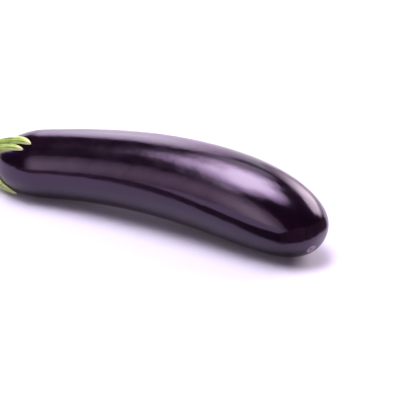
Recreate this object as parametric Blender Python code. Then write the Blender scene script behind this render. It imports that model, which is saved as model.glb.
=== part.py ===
"""A long purple eggplant, as picked, lying on a flat surface.

It grew as two bodies of different colour: the glossy fruit, and the green calyx with the cut stalk.
Units are metres. +X runs from the stalk to the blossom end, +Z is up, and -Y is the front.
A turn is an angle round the fruit's axis: 0 is the top and a quarter turn is the front.
A station is a distance along the axis, and a reach is one over the skin, both from the stalk end.
"""

from math import cos, pi, radians, sin

import bmesh
import bpy
import numpy as np

# Fruit
FRUIT_LENGTH = 0.230
BELLY_RADIUS = 0.027
BELLY_AT = 0.735
SHOULDER_RADIUS = 0.0213
SHOULDER_CAP = 0.034
TIP_CAP = 0.0715
TIP_FULLNESS = 2.6
BEND = radians(34)
BEND_GATHER = 1.37
BEND_TILT = radians(40)
FLAT_DEPTH = 0.001
# How many waves stand round the section, their height as a share of the radius, and where they start
SECTION_WAVES = ((2, 0.010, 0.6), (3, 0.006, 2.1), (5, 0.0025, 4.0))
WAVE_TWIST = 9

# Blossom scar, which sits a little to the inside of the bend
SCAR_TURN = radians(136)
SCAR_OFF_TIP = 0.0078
SCAR_RIM_RADIUS = 0.0023
SCAR_RIM_WIDTH = 0.0008
SCAR_RIM_HEIGHT = 0.0004
SCAR_PIT_RADIUS = 0.0012
SCAR_PIT_DEPTH = 0.0007

# Calyx: each lobe's turn, half width as an angle, reach, sweep to one side and lift at its tip
LOBES = (
    (radians(7), radians(11), 0.0412, radians(24.5), 0.0002),
    (radians(24.5), radians(9.5), 0.0360, radians(21), 0.0002),
    (radians(147), radians(13), 0.0248, radians(0), 0.0005),
    (radians(211), radians(14), 0.030, radians(6), 0.0003),
    (radians(255), radians(14), 0.034, radians(-5), 0.0005),
    (radians(298), radians(15), 0.031, radians(4), 0.0004),
)
SWEEP_REACH = 0.040
SINUS_REACH = 0.0095
LOBE_TAPER = 0.37
SKIRT_SHARE = 0.39
SKIRT_SPREAD = 1.7
CALYX_GAP = 0.0004
LIFT_FROM = 0.4
CROWN_THICKNESS = 0.0044
CROWN_SPREAD = 0.026
LOBE_THICKNESS = 0.0017
THICK_SIDE = radians(15)
THICK_SIDE_SHARE = 0.28
EDGE_THICKNESS = 0.0007
EDGE_ROUND = 0.0026
RIB_HEIGHT = 0.0005
RIB_WIDTH = 0.35

# Stalk, which is cut square
STALK_LENGTH = 0.029
STALK_RADIUS = 0.0044
STALK_FOOT_REACH = 0.005
STALK_FLARE = 0.0018
STALK_FLARE_LENGTH = 0.0026
STALK_END_SWELL = 0.0007
STALK_BEND = radians(26)
STALK_RIDGES = 5
STALK_RIDGE_HEIGHT = 0.055
STALK_RIDGE_START = 0.7

# Mesh: how the rings and segments are shared out
FRUIT_SEGMENTS = 56
FRUIT_RINGS = 54
END_CROWDING = 0.85
CALYX_COLUMNS = 136
CURVE_WEIGHT = 0.002
UNDER_RINGS = 11
EDGE_INSETS = (0, 0.0004, 0.001, 0.0019)
CROWN_SHARES = (0.18, 0.37, 0.56, 0.74, 0.88, 1)
STALK_SHARES = (0.17, 0.24, 0.33, 0.45, 0.6, 0.76, 0.9, 0.985, 1)
CUT_FACE_SHARES = (0.93, 0.5, 0)
TABLE_STEPS = 800
SLOPE_STEP = 1e-5
SETTLE_STEPS = 8


def smooth(share):
    """Eases from 0 to 1, and stays there."""
    share = np.clip(share, 0.0, 1.0)
    return share * share * (3 - 2 * share)


def fruit_radius(station):
    """The fruit's radius: half an ellipsoid at the stalk, a slow swell and a full tip."""
    swell = (1 - np.cos(pi * np.clip(station / FRUIT_LENGTH / BELLY_AT, 0, 1))) / 2
    radius = SHOULDER_RADIUS + (BELLY_RADIUS - SHOULDER_RADIUS) * swell
    in_shoulder = np.clip(1 - station / SHOULDER_CAP, 0, 1)
    in_tip = np.clip(1 - (FRUIT_LENGTH - station) / TIP_CAP, 0, 1)
    tip = np.maximum(1 - in_tip**TIP_FULLNESS, 0) ** (1 / TIP_FULLNESS)
    return radius * np.sqrt(1 - in_shoulder**2) * tip


def axis_table():
    """What the axis does at stations that crowd at both ends.

    Returns the stations, the axis's places and headings in the plane of the bend, and the reaches.
    """
    station = FRUIT_LENGTH * (1 - np.cos(np.linspace(0, pi, TABLE_STEPS))) / 2
    heading = -BEND * (station / FRUIT_LENGTH) ** BEND_GATHER
    step = np.diff(station)
    middle = (heading[1:] + heading[:-1]) / 2
    along = np.append(0, np.cumsum(step * np.cos(middle)))
    off = np.append(0, np.cumsum(step * np.sin(middle)))
    chord = np.arctan2(off[-1], along[-1])
    level_along = along * cos(chord) + off * sin(chord)
    level_off = off * cos(chord) - along * sin(chord)
    reach = np.append(0, np.cumsum(np.hypot(step, np.diff(fruit_radius(station)))))
    return station, level_along, level_off, heading - chord, reach


STATION, ALONG, OFF, HEADING, REACH = axis_table()
LENGTHWAYS = np.array([1.0, 0, 0])
BULGE = np.array([0, cos(BEND_TILT), sin(BEND_TILT)])
ACROSS = np.array([0, -sin(BEND_TILT), cos(BEND_TILT)])


def axis_frame(station):
    """The axis's point, its forward direction and its direction towards the outside of the bend."""
    along = np.interp(station, STATION, ALONG)[..., None]
    off = np.interp(station, STATION, OFF)[..., None]
    heading = np.interp(station, STATION, HEADING)[..., None]
    point = along * LENGTHWAYS + off * BULGE
    forward = np.cos(heading) * LENGTHWAYS + np.sin(heading) * BULGE
    outside = np.cos(heading) * BULGE - np.sin(heading) * LENGTHWAYS
    return point, forward, outside


def sideways(outside, turn):
    """The direction away from the axis at this turn."""
    lean = (BEND_TILT - turn)[..., None]
    return np.sin(lean) * outside + np.cos(lean) * ACROSS


def fruit_skin(station, turn):
    """Points of the plain skin, before the blossom scar, and the directions out of it."""
    point, forward, outside = axis_frame(station)
    out = sideways(outside, turn)
    waves = sum(
        share * np.cos(count * turn + start + WAVE_TWIST * station)
        for count, share, start in SECTION_WAVES
    )
    before = np.maximum(station - SLOPE_STEP, 0)
    after = np.minimum(station + SLOPE_STEP, FRUIT_LENGTH)
    slope = (fruit_radius(after) - fruit_radius(before)) / (after - before)
    normal = out - slope[..., None] * forward
    normal /= np.linalg.norm(normal, axis=-1, keepdims=True)
    return point + (fruit_radius(station) * (1 + waves))[..., None] * out, normal


def scar_height(distance):
    """A raised ring round a small pit."""
    rim = SCAR_RIM_HEIGHT * np.exp(-(((distance - SCAR_RIM_RADIUS) / SCAR_RIM_WIDTH) ** 2))
    return rim - SCAR_PIT_DEPTH * np.exp(-((distance / SCAR_PIT_RADIUS) ** 2))


def fruit_point(station, turn):
    """Points of the skin with the blossom scar."""
    point, normal = fruit_skin(station, turn)
    scar_station = np.interp(REACH[-1] - SCAR_OFF_TIP, REACH, STATION)
    middle, _ = fruit_skin(np.array(scar_station), np.array(SCAR_TURN))
    distance = np.linalg.norm(point - middle, axis=-1)
    return point + scar_height(distance)[..., None] * normal


def fruit_grid():
    """Points of the fruit for each ring, tip to stalk end, and each segment."""
    even = np.linspace(1, 0, FRUIT_RINGS + 1)
    crowded = even - END_CROWDING * np.sin(2 * pi * even) / (2 * pi)
    station = np.interp(crowded * REACH[-1], REACH, STATION)
    turn = np.linspace(0, 2 * pi, FRUIT_SEGMENTS, endpoint=False)
    return fruit_point(*np.meshgrid(station, turn, indexing="ij"))


def lobe_shares(turn, lobe_turn, half_width):
    """How far a turn lies from a lobe's middle, in half widths."""
    return np.abs((turn - lobe_turn + pi) % (2 * pi) - pi) / half_width


def margin_reach(turn):
    """How far the calyx reaches over the fruit: fingers on wide skirts, with hollows between."""
    fingers = np.zeros_like(turn)
    skirts = np.zeros_like(turn)
    for lobe_turn, half_width, tip_reach, _, _ in LOBES:
        share = lobe_shares(turn, lobe_turn, half_width)
        length = tip_reach - SINUS_REACH
        fingers = np.maximum(fingers, length * np.maximum(1 - share**2, 0) ** LOBE_TAPER)
        skirts = skirts + length * SKIRT_SHARE * np.exp(-((share / SKIRT_SPREAD) ** 2))
    return SINUS_REACH + np.cbrt(fingers**3 + skirts**3)


def skin_at(reach, turn):
    """Points of the skin under the calyx and the directions out of it, with the lobes swept aside."""
    turns = [lobe[0] for lobe in LOBES]
    sweeps = [lobe[3] for lobe in LOBES]
    sweep = np.interp(turn, turns, sweeps, period=2 * pi) * (reach / SWEEP_REACH) ** 2
    return fruit_skin(np.interp(reach, REACH, STATION), turn + sweep)


def margin_columns():
    """Turns spaced along the calyx's margin, closer where it curves, and the margin's points."""
    turn = np.linspace(0, 2 * pi, 4 * TABLE_STEPS)
    edge, _ = skin_at(margin_reach(turn), turn)
    step = np.diff(edge, axis=0)
    run = np.linalg.norm(step, axis=1, keepdims=True)
    curving = np.linalg.norm(np.diff(step / run, axis=0), axis=1)
    weight = run[:, 0] + CURVE_WEIGHT * np.append(curving, 0)
    length = np.append(0, np.cumsum(weight))
    share = np.linspace(0, length[-1], CALYX_COLUMNS, endpoint=False)
    return np.interp(share, length, turn), edge


def blade_thickness(reach, turn, to_edge):
    """Thick at the crown and thin at the tips, with a rib along each lobe and round edges."""
    near_crown = 1 - smooth((reach - STALK_FOOT_REACH) / CROWN_SPREAD)
    body = LOBE_THICKNESS + (CROWN_THICKNESS - LOBE_THICKNESS) * near_crown
    body = body * (1 + THICK_SIDE_SHARE * np.cos(turn - THICK_SIDE))
    for lobe_turn, half_width, tip_reach, _, _ in LOBES:
        share = lobe_shares(turn, lobe_turn, half_width)
        fade = smooth(2 * (tip_reach - reach) / tip_reach)
        body = body + RIB_HEIGHT * fade * np.exp(-((share / RIB_WIDTH) ** 2))
    inward = np.clip(to_edge / EDGE_ROUND, 0, 1)
    return EDGE_THICKNESS + (body - EDGE_THICKNESS) * np.sqrt(1 - (1 - inward) ** 2)


def blade_lift(reach, turn):
    """The clear gap to the fruit, which widens towards each lobe's tip."""
    lift = np.full_like(reach, CALYX_GAP)
    for lobe_turn, half_width, tip_reach, _, tip_lift in LOBES:
        near = np.exp(-(lobe_shares(turn, lobe_turn, half_width) ** 4))
        lift = lift + tip_lift * near * smooth((reach / tip_reach - LIFT_FROM) / (1 - LIFT_FROM))
    return lift


def blade_ring(reach, turn, edge=None):
    """One ring of the calyx: on its underside, or on its top if the margin's points are given."""
    skin, normal = skin_at(reach, turn)
    height = blade_lift(reach, turn)
    if edge is not None:
        to_edge = np.array([np.linalg.norm(edge - point, axis=1).min() for point in skin])
        height = height + blade_thickness(reach, turn, to_edge)
    return skin + height[:, None] * normal


def calyx_rings(turn, edge):
    """The calyx's rings from under the crown, round the margin and back to the stalk's foot."""
    margin = margin_reach(turn)
    rings = [blade_ring(margin * share, turn) for share in np.linspace(0, 1, UNDER_RINGS)]
    rings += [blade_ring(margin - inset, turn, edge) for inset in EDGE_INSETS]
    last = margin - EDGE_INSETS[-1]
    for share in CROWN_SHARES:
        rings.append(blade_ring(last + share * (STALK_FOOT_REACH - last), turn, edge))
    return rings


def stalk_rings(turn):
    """The stalk's rings from its flared foot to the middle of its cut end."""
    foot, forward, outside = axis_frame(np.array(0.0))
    top = sideways(outside, np.array(0.0))
    front = sideways(outside, np.array(pi / 2))
    even = turn[0] + np.linspace(0, 2 * pi, len(turn), endpoint=False)
    rings = []
    for share in STALK_SHARES:
        lean = STALK_BEND * share
        arc = (1 - cos(lean)) * top - sin(lean) * forward
        middle = foot + STALK_LENGTH / STALK_BEND * arc
        up = cos(lean) * top + sin(lean) * forward
        past_foot = (share - STALK_SHARES[0]) * STALK_LENGTH
        radius = STALK_RADIUS + STALK_FLARE * np.exp(-past_foot / STALK_FLARE_LENGTH)
        radius += STALK_END_SWELL * smooth(2 * share - 1)
        spread = smooth(2 * (share - STALK_SHARES[0]))
        angle = turn + spread * (even - turn)
        ridge = STALK_RIDGE_HEIGHT * np.cos(STALK_RIDGES * angle + STALK_RIDGE_START)
        around = np.cos(angle)[:, None] * up + np.sin(angle)[:, None] * front
        rings.append(middle + radius * (1 + ridge * (1 + spread) / 2)[:, None] * around)
    rim = rings[-1]
    centre = rim.mean(axis=0)
    rings[-1] = centre + CUT_FACE_SHARES[0] * (rim - centre)
    rings += [centre + share * (rim - centre) for share in CUT_FACE_SHARES[1:]]
    return rings


def calyx_grid():
    """Points of the calyx and stalk for each ring, from under the crown to the cut end's middle."""
    turn, edge = margin_columns()
    return np.array(calyx_rings(turn, edge) + stalk_rings(turn))


def about_y(angle):
    return np.array([[cos(angle), 0, sin(angle)], [0, 1, 0], [-sin(angle), 0, cos(angle)]])


def rest_pitch(fruit):
    """The rotation about Y that brings the stalk half and the belly half down to one level."""
    points = fruit.reshape(-1, 3)
    pitch = 0.0
    for _ in range(SETTLE_STEPS):
        turned = points @ about_y(pitch).T
        stalk_half = turned[turned[:, 0] < FRUIT_LENGTH / 2]
        belly_half = turned[turned[:, 0] >= FRUIT_LENGTH / 2]
        slope = belly_half[belly_half[:, 2].argmin()] - stalk_half[stalk_half[:, 2].argmin()]
        pitch += np.arctan2(slope[2], slope[0])
    return pitch


def lay_down(fruit, calyx):
    """Both grids as they rest: level, pressed flat where they touch, the origin under the middle."""
    pitched = about_y(rest_pitch(fruit)).T
    fruit = fruit @ pitched
    calyx = calyx @ pitched
    floor = fruit[..., 2].min() + FLAT_DEPTH
    fruit[..., 2] = np.maximum(fruit[..., 2], floor)
    both = np.concatenate([fruit.reshape(-1, 3), calyx.reshape(-1, 3)])
    middle = (both.min(axis=0) + both.max(axis=0)) / 2
    origin = np.array([middle[0], middle[1], floor])
    return fruit - origin, calyx - origin


def plain_material(name, colour, roughness):
    material = bpy.data.materials.new(name)
    material.use_nodes = True
    shader = material.node_tree.nodes["Principled BSDF"]
    shader.inputs["Base Color"].default_value = (*colour, 1)
    shader.inputs["Roughness"].default_value = roughness
    return material


def sphere_from_grid(name, grid, material, collection):
    """A UV sphere with each point moved to its ring's and segment's place in the grid."""
    rings = len(grid) - 1
    segments = grid.shape[1]
    ball = bmesh.new()
    bmesh.ops.create_uvsphere(ball, u_segments=segments, v_segments=rings, radius=1.0)
    for vert in ball.verts:
        polar = np.arccos(np.clip(vert.co.z, -1, 1))
        around = np.arctan2(vert.co.y, vert.co.x) % (2 * pi)
        ring = round(polar / pi * rings)
        segment = round(around / (2 * pi) * segments) % segments
        vert.co = grid[ring, segment]
    if ball.calc_volume(signed=True) < 0:
        bmesh.ops.reverse_faces(ball, faces=ball.faces)
    mesh = bpy.data.meshes.new(name)
    ball.to_mesh(mesh)
    ball.free()
    mesh.shade_smooth()
    mesh.set_sharp_from_angle(angle=radians(50))
    mesh.materials.append(material)
    collection.objects.link(bpy.data.objects.new(name, mesh))


def main():
    for old in list(bpy.data.objects):
        bpy.data.objects.remove(old)
    collection = bpy.data.collections.new("eggplant")
    bpy.context.scene.collection.children.link(collection)
    fruit, calyx = lay_down(fruit_grid(), calyx_grid())
    skin = plain_material("aubergine_skin", (0.020, 0.006, 0.020), 0.22)
    green = plain_material("calyx_green", (0.36, 0.50, 0.10), 0.55)
    sphere_from_grid("fruit", fruit, skin, collection)
    sphere_from_grid("calyx_and_stalk", calyx, green, collection)


main()
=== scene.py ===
"""The looks of a long purple eggplant, as picked, lying on a pale floor in soft studio light.

Units are metres. +X runs from the stalk to the blossom end, +Z is up, and -Y is the front.
A turn is an angle round the fruit's axis: 0 is the top and a quarter turn is the front.
A station is a distance along the axis, and a reach is one over the skin, both from the stalk end.
"""

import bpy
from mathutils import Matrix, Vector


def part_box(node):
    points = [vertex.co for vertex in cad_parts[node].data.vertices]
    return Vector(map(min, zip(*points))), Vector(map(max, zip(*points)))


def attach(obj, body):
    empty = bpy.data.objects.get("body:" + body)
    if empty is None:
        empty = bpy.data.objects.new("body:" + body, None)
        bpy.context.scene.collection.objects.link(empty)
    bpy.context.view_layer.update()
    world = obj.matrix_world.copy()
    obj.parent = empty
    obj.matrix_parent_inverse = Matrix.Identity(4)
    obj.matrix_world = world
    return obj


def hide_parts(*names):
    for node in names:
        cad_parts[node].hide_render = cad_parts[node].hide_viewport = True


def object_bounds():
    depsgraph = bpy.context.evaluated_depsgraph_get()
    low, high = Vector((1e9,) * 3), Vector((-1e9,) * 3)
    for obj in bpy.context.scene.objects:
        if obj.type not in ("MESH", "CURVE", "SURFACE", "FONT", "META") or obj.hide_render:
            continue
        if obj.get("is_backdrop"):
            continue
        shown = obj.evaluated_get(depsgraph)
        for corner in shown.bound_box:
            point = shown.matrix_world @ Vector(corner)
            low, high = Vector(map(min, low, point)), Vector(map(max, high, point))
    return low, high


bl_info = {
    "name": "Long Eggplant",
    "version": (1, 0, 0),
    "blender": (4, 5, 0),
    "location": "3D View > Sidebar > Eggplant",
    "description": "Glossy skin, fleshy calyx, cut stalk and blossom scar of a long eggplant",
    "category": "Add Mesh",
}

from math import atan2, cos, pi, radians, sin

import bpy
import numpy as np
from bpy.props import FloatProperty, FloatVectorProperty, IntProperty, PointerProperty
from bpy.types import Operator, Panel, PropertyGroup
from mathutils import Matrix, Vector
from mathutils.kdtree import KDTree

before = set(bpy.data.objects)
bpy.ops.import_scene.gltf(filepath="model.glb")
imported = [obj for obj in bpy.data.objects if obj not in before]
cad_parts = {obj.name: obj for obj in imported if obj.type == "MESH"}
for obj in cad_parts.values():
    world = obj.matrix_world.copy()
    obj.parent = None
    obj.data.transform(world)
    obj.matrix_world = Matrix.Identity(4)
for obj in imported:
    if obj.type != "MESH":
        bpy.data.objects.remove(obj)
CAD_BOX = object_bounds()
BODY = "root"

# How many waves stand round the fruit's section, their height as a share of the radius, and their start
SECTION_WAVES = ((2, 0.010, 0.6), (3, 0.006, 2.1), (5, 0.0025, 4.0))
WAVE_TWIST = 9

# Each calyx lobe's turn, half width as an angle, reach, sweep to one side and lift at its tip.
# The first two are about 1 degree narrower than in the solid.
LOBES = (
    (radians(6.3), radians(9.8), 0.0410, radians(23.8), 0.0002),
    (radians(24.5), radians(8.6), 0.0360, radians(21), 0.0002),
    (radians(147), radians(13), 0.0248, radians(0), 0.0005),
    (radians(211), radians(14), 0.030, radians(6), 0.0003),
    (radians(255), radians(14), 0.034, radians(-5), 0.0005),
    (radians(298), radians(15), 0.031, radians(4), 0.0004),
)

# The solids' own mesh, which shows how far the fruit is pitched to rest
SOLID_SEGMENTS = 56
SOLID_RINGS = 54
END_CROWDING = 0.85
# Steps of the axis's table, of a slope, and of the search for how the fruit rests
TABLE_STEPS = 800
SLOPE_STEP = 1e-5
SETTLE_STEPS = 8

# The skin's facets: their counts round it, where each count starts, and how far they wander
FACET_COUNTS = (7, 11, 16, 23)
FACET_START = 2.4
FACET_WANDER = 6
FACET_WAVES = 10
# Its dents: their draw, their cut-off height, and how many waves of what spread make them
DENT_SEED = 5
DENT_LIMIT = 2
NOISE_WAVES = 28
NOISE_SPREAD = (0.7, 1.6)
# The cracks over the blossom scar, and how far the skin lies inside its solid at least
CRACK_WANDER = 1.2
CRACK_SHARPNESS = 4
SKIN_INSET = 0.00003
# The flats: how softly the skin turns into them, and up to how many times that height it is eased
FLAT_SOFTNESS = 0.00008
FLAT_EASED_TO = 12
# How far over the skin its distance from the calyx is measured
CALYX_ZONE = 0.060
UNSWEPT_STEPS = 6

# The calyx's columns lie closer where its margin curves, and nowhere far apart in turn
COLUMN_CURVE_WEIGHT = 0.002
COLUMN_TURN_WEIGHT = 0.045
# Its veins wander and fade at the margin, and fine and broad waves share their height
VEIN_WANDER = 1.3
VEIN_WANDER_WAVES = 5
VEIN_WANDER_LENGTH = 0.006
BROAD_VEINS = 0.5
FINE_VEIN_SHARE = 0.3
BROAD_VEIN_SHARE = 0.2
VEIN_EDGE = 0.0012
# Its rings: below, round the border, on the edge, up the crown, along the stalk and over the cut
UNDER_RINGS = 16
BEAD_RINGS = 5
INSET_RINGS = 9
INSET_DEPTH = 0.0028
INSET_EASE = 1.5
CROWN_RINGS = 26
CROWN_EASE = 0.25
STALK_RINGS = 26
STALK_EASE = 1.15
BEVEL_RINGS = 3
CUT_RINGS = 9
# The stalk leaves the calyx at this share of its length
STALK_START = 0.17
# The stalk's fine grooves: their count, how far they wander, and how soon they reach their depth
STALK_GROOVES = 34
GROOVE_WANDER = 2
GROOVE_WAVES = 3
GROOVE_TWIST = 9
GROOVE_ONSET = 6
# The cut's dish: how steeply it sinks from the rind, its waves, and how small its even middle is
DISH_STEEPNESS = 2.2
DISH_UNEVEN = 0.35
DISH_WAVES = 7
DISH_TWIST = 3
DISH_MIDDLE = 6
# Values on the calyx's mesh: the paint's radius, and distances that are too far to matter
GROWN_RADIUS = 0.010
FAR_FROM_EDGE = 0.02
FAR_FROM_TIP = 1.0


def length_property(name, description, default, **rest):
    return FloatProperty(
        name=name, description=description, default=default, unit="LENGTH", precision=5, **rest
    )


def angle_property(name, description, degrees):
    return FloatProperty(
        name=name, description=description, default=radians(degrees), subtype="ANGLE"
    )


def share_property(name, description, default, **rest):
    return FloatProperty(name=name, description=description, default=default, **rest)


def colour_property(name, description, default):
    return FloatVectorProperty(
        name=name, description=description, default=default, subtype="COLOR", size=3, min=0, max=1
    )


class FruitForm(PropertyGroup):
    """The sizes of the fruit, which are those of its solid."""

    length: length_property("Length", "Length along the bent axis", 0.230)
    belly: length_property("Belly radius", "Radius where the fruit is thickest", 0.027)
    belly_at: share_property("Belly place", "Share of the length where it is thickest", 0.735)
    shoulder: length_property("Shoulder radius", "Radius next to the calyx", 0.0213)
    shoulder_cap: length_property("Shoulder cap", "Length of the rounding at the stalk", 0.034)
    tip_cap: length_property("Tip cap", "Length of the rounding at the blossom end", 0.0715)
    tip_fullness: share_property("Tip fullness", "2 is an ellipse, more is blunter", 2.6)
    bend: angle_property("Bend", "Angle between the axis's two ends", 34)
    bend_gather: share_property("Bend gather", "Above 0, more of the bend is near the tip", 1.37)
    bend_tilt: angle_property("Bend tilt", "Lean of the bend's plane from level", 40)
    flat_depth: length_property("Flat depth", "How far the skin is pressed flat below", 0.001)
    segments: IntProperty(name="Segments", description="Faces round the fruit", default=256)
    rings: IntProperty(name="Rings", description="Faces along the fruit", default=360)


class ScarForm(PropertyGroup):
    """The sizes of the blossom scar."""

    turn: angle_property("Turn", "Where the scar lies round the axis", 136)
    off_tip: length_property("Off the tip", "How far it lies from the axis's end", 0.0078)
    rim_radius: length_property("Rim radius", "Radius of its raised ring", 0.0023)
    rim_width: length_property("Rim width", "Width of its raised ring", 0.0008)
    rim_height: length_property("Rim height", "Height of its raised ring", 0.0004)
    pit_radius: length_property("Pit radius", "Radius of the pit inside it", 0.0012)
    pit_depth: length_property("Pit depth", "Depth of the pit", 0.0007)
    crack_depth: length_property("Crack depth", "Depth of the cracks over its ring", 0.00012)
    cracks: IntProperty(name="Cracks", description="Cracks that cross the ring", default=9)


class SkinFinish(PropertyGroup):
    """The fruit's colours, gloss and fine relief."""

    deep: colour_property("Deep colour", "Nearly black purple", (0.0028, 0.0006, 0.0032))
    wine: colour_property("Wine colour", "Redder purple that shows in patches", (0.0048, 0.0007, 0.0042))
    violet: colour_property("Violet", "Young skin next to the calyx", (0.016, 0.005, 0.034))
    pale: colour_property("Pale line", "Skin that the calyx has just left", (0.34, 0.26, 0.38))
    speck: colour_property("Specks", "Tiny pale pores", (0.030, 0.014, 0.030))
    cork: colour_property("Cork", "The blossom scar's dry ring", (0.26, 0.20, 0.25))
    pit: colour_property("Pit", "The middle of the blossom scar", (0.10, 0.062, 0.080))
    tint: colour_property("Gloss tint", "Tint of what the skin reflects", (0.88, 0.655, 1.0))
    roughness: share_property("Roughness", "Roughness of the waxy skin", 0.148, subtype="FACTOR")
    facet_height: length_property("Facets", "Height of faint lengthwise facets", 0.000016)
    dent_height: length_property("Dents", "Height of the skin's slow unevenness", 0.000022)
    dent_size: length_property("Dent size", "Distance between the dents", 0.014)
    ripple_height: length_property("Ripples", "Height of the small ripples", 0.000055)
    pore_height: length_property("Pores", "Depth of the finest grain", 0.000006)


class CalyxForm(PropertyGroup):
    """The sizes of the calyx, which are those of its solid, and its finer relief."""

    sweep_reach: length_property("Sweep reach", "Reach at which a lobe's sweep is full", 0.040)
    sinus_reach: length_property("Hollow reach", "Reach of the hollows between lobes", 0.0095)
    taper: share_property("Taper", "Low is blunt, high is pointed", 0.37)
    skirt_share: share_property("Skirt share", "Length of the webs between fingers", 0.39)
    skirt_spread: share_property("Skirt spread", "Width of the webs in half widths", 1.7)
    gap: length_property("Gap", "Space between calyx and fruit", 0.0004)
    lift_from: share_property("Lift from", "Share of a lobe where its tip starts to lift", 0.4)
    crown: length_property("Crown thickness", "Thickness at the stalk's foot", 0.0044)
    crown_spread: length_property("Crown spread", "Reach over which it thins", 0.026)
    lobe: length_property("Lobe thickness", "Thickness of the lobes", 0.0017)
    thick_side: angle_property("Thick side", "Turn where the lobes are thickest", 15)
    thick_share: share_property("Thick share", "How much thicker they are there", 0.28)
    edge: length_property("Edge thickness", "Thickness at the margin", 0.0007)
    edge_round: length_property("Edge rounding", "Width of the rounded border", 0.0026)
    rib: length_property("Rib height", "Height of each lobe's middle rib", 0.0005)
    rib_width: share_property("Rib width", "Width of that rib in half widths", 0.35)
    vein: length_property("Vein height", "Height of the lengthwise veins", 0.00016)
    veins: IntProperty(name="Veins", description="Lengthwise veins round the calyx", default=84)
    # The fold between the two close lobes: the calyx is thinner there, and painted shade darkens it
    fold_turn: angle_property("Fold turn", "Where the two close lobes meet", 15.6)
    fold_width: angle_property("Fold width", "Half width of the fold between them", 3.2)
    fold_start: length_property("Fold start", "Reach from which the fold deepens", 0.010)
    fold_run: length_property("Fold run", "Reach over which it gets its full depth", 0.008)
    fold_depth: share_property("Fold depth", "Share of the thickness lost in it", 0.5)
    columns: IntProperty(name="Columns", description="Faces round the calyx", default=960)


class StalkForm(PropertyGroup):
    """The sizes of the stalk, which are those of its solid, and its cut end."""

    length: length_property("Length", "Length along its bend", 0.029)
    radius: length_property("Radius", "Radius in its middle", 0.0044)
    foot_reach: length_property("Foot reach", "Reach where it grows out of the calyx", 0.005)
    flare: length_property("Flare", "Extra radius at its foot", 0.0018)
    flare_length: length_property("Flare length", "How soon the flare fades", 0.0026)
    end_swell: length_property("End swell", "Extra radius at the cut", 0.0007)
    bend: angle_property("Bend", "Angle between its two ends", 26)
    ridges: IntProperty(name="Ridges", description="Blunt ridges along it", default=5)
    ridge_height: share_property("Ridge height", "Their height as a share of the radius", 0.055)
    ridge_start: FloatProperty(
        name="Ridge start", description="Where the first ridge is", default=0.7, subtype="ANGLE"
    )
    groove: length_property("Grooves", "Depth of the fine grooves along it", 0.00009)
    cut_dish: length_property("Cut dish", "How far the dried pith has sunk in", 0.00045)
    cut_bevel: length_property("Cut bevel", "Rounding of the cut's edge", 0.0003)


class CalyxFinish(PropertyGroup):
    """The calyx's and the stalk's colours."""

    leaf: colour_property("Green", "Main yellow-green", (0.345, 0.440, 0.095))
    lime: colour_property("Lime", "Fresh green of the webs and the crown", (0.190, 0.325, 0.034))
    # Dark green: real dark fibres on the stalk, and painted shade in the calyx's furrows between veins,
    # deepest in the fold between its two close lobes
    dark_green_and_shade: colour_property("Dark green", "Furrows between the veins", (0.040, 0.080, 0.008))
    cream: colour_property("Cream", "Ribs and borders", (0.50, 0.56, 0.235))
    tan: colour_property("Tan", "Dry tips", (0.52, 0.50, 0.28))
    stalk: colour_property("Stalk", "Green of the stalk", (0.24, 0.38, 0.07))
    brown: colour_property("Brown", "Rubbed ridges and the cut's rind", (0.22, 0.15, 0.06))
    pith: colour_property("Pith", "Dried pith of the cut", (0.50, 0.45, 0.28))
    roughness: share_property("Roughness", "Roughness of the satin flesh", 0.46, subtype="FACTOR")


class StageLook(PropertyGroup):
    """The floor, the light and the camera."""

    floor_colour: colour_property("Floor", "Colour of the floor in front", (0.655, 0.615, 0.745))
    # Painted light: the floor is painted paler behind the fruit so that the fruit's rims reflect more
    # light
    floor_painted_light_behind: colour_property("Floor behind", "Paler colour behind the fruit", (0.86, 0.79, 0.90))
    floor_radius: length_property("Floor radius", "Radius of the round floor", 2.6)
    floor_back: length_property("Floor set back", "How far its middle lies behind the fruit", 0.6)
    surround: colour_property("Surround", "What little light comes from the room", (0.055, 0.042, 0.058))
    backdrop: colour_property("Backdrop", "What the camera sees behind the floor", (1.0, 1.0, 1.0))
    light_tint: colour_property("Light tint", "Tint of the lights above", (0.96, 0.985, 0.98))
    back_tint: colour_property("Back tint", "Tint of the lights behind", (0.96, 0.90, 1.0))
    warm_tint: colour_property("Warm tint", "Tint of the lights in front and right", (1.0, 0.95, 0.92))
    rim_tint: colour_property("Rim tint", "Tint that each light takes on at its rim", (0.96, 0.80, 1.0))
    strip_colour: colour_property("Dark strip", "Strip that darkens the gloss", (0.15, 0.085, 0.12))
    light_level: share_property("Light level", "Strength of all the lights together", 1.0)
    azimuth: angle_property("Azimuth", "Camera's turn from the front", 26.636)
    elevation: angle_property("Elevation", "Camera's height as an angle", 27.246)
    roll: angle_property("Roll", "Camera's lean", 0.555)
    distance: length_property("Distance", "From the camera to what it aims at", 1.3)
    lens: FloatProperty(name="Lens", description="Focal length in mm", default=189.63)
    aim: FloatVectorProperty(
        name="Aim", description="The point it aims at", default=(0.0416, -0.0008, 0.0190),
        subtype="XYZ_LENGTH", size=3,
    )


# Radii of the two largest cards' outlines at even turns, from the right and on through their tops
KEY_OUTLINE = (0.566, 0.468, 0.747, 0.692, 0.423, 0.461, 0.551, 0.845, 0.523, 0.591)
BACK_OUTLINE = (1.02, 0.85, 0.74, 0.79, 1.30, 1.00, 0.85, 0.87, 1.25, 1.95)
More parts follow.
